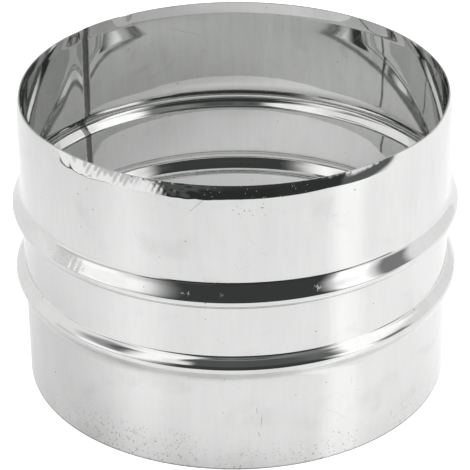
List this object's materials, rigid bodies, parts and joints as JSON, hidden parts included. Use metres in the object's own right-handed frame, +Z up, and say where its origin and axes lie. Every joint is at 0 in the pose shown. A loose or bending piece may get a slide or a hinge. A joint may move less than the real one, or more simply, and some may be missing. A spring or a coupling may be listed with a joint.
{
  "type": "flue pipe coupling",
  "caption": "Short bright stainless sleeve with paired rolled beads near the middle and a tapered lead-in edge, for joining flue pipes end to end.",
  "frame": {"origin": "on the sleeve's axis, in the plane of its lower edge, on which it stands", "axes": "+Z up along the sleeve's axis, towards the edge with the tapered lead-in; the weld seam lies at 137 degrees from +X towards +Y"},
  "size_m": [0.1458, 0.1458, 0.1],
  "materials": {
    "bright_stainless": "bright-rolled thin stainless sheet, mirror-like, with fine handling scratches and smudges"
  },
  "bodies": {
    "root": {"coupling_sleeve": "bright_stainless"}
  },
  "joints": []
}
